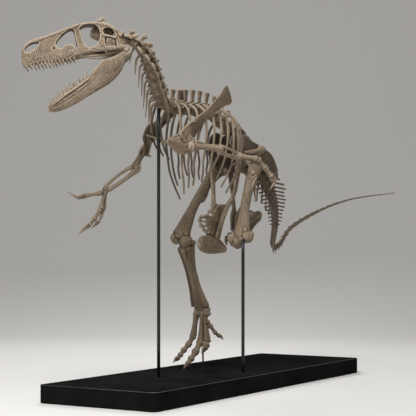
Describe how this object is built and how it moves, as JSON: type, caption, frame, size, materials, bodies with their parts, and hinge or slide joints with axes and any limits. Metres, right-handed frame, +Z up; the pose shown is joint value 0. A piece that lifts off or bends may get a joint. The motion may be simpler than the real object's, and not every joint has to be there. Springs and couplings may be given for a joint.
{
  "type": "mounted dinosaur skeleton",
  "caption": "Life-size skeleton of a large meat-eating dinosaur, mounted in mid-stride with open jaws and a long raised tail on a long flat black plinth with upright steel rods",
  "frame": {"origin": "centre of the plinth's underside, on the floor", "axes": "+X is the way the animal runs, along the plinth; +Y is the animal's left; +Z is up"},
  "size_m": [6.3223, 1.389, 3.3874],
  "materials": {
    "pale_bone": "matt weathered fossil bone, grey-brown with ochre streaks",
    "dark_bone": "matt weathered fossil bone, darker brown",
    "head_bone": "matt weathered fossil bone, pale, with glossier teeth",
    "plinth": "satin black",
    "rods": "satin black steel"
  },
  "bodies": {
    "root": {"stand_base": "plinth", "stand_rod_chest": "rods", "stand_rod_knee": "rods", "stand_rod_foot": "rods", "skull": "head_bone", "lower_jaw": "head_bone", "neck_front": "pale_bone", "neck_rear": "pale_bone", "ribcage_left": "pale_bone", "ribcage_right": "dark_bone", "sacrum": "dark_bone", "ilium_left": "pale_bone", "ilium_right": "pale_bone", "pubis": "pale_bone", "ischium": "dark_bone", "scapula_left": "pale_bone", "scapula_right": "pale_bone", "wishbone": "pale_bone", "humerus_left": "pale_bone", "radius_left": "pale_bone", "ulna_left": "pale_bone", "hand_left": "pale_bone", "humerus_right": "pale_bone", "radius_right": "pale_bone", "ulna_right": "pale_bone", "hand_right": "pale_bone", "femur_left": "pale_bone", "tibia_left": "pale_bone", "fibula_left": "dark_bone", "foot_left": "dark_bone", "femur_right": "pale_bone", "tibia_right": "pale_bone", "fibula_right": "dark_bone", "foot_right": "pale_bone", "tail_1": "dark_bone", "tail_2": "dark_bone", "tail_3": "dark_bone", "tail_4": "dark_bone", "tail_5": "dark_bone"}
  },
  "joints": []
}
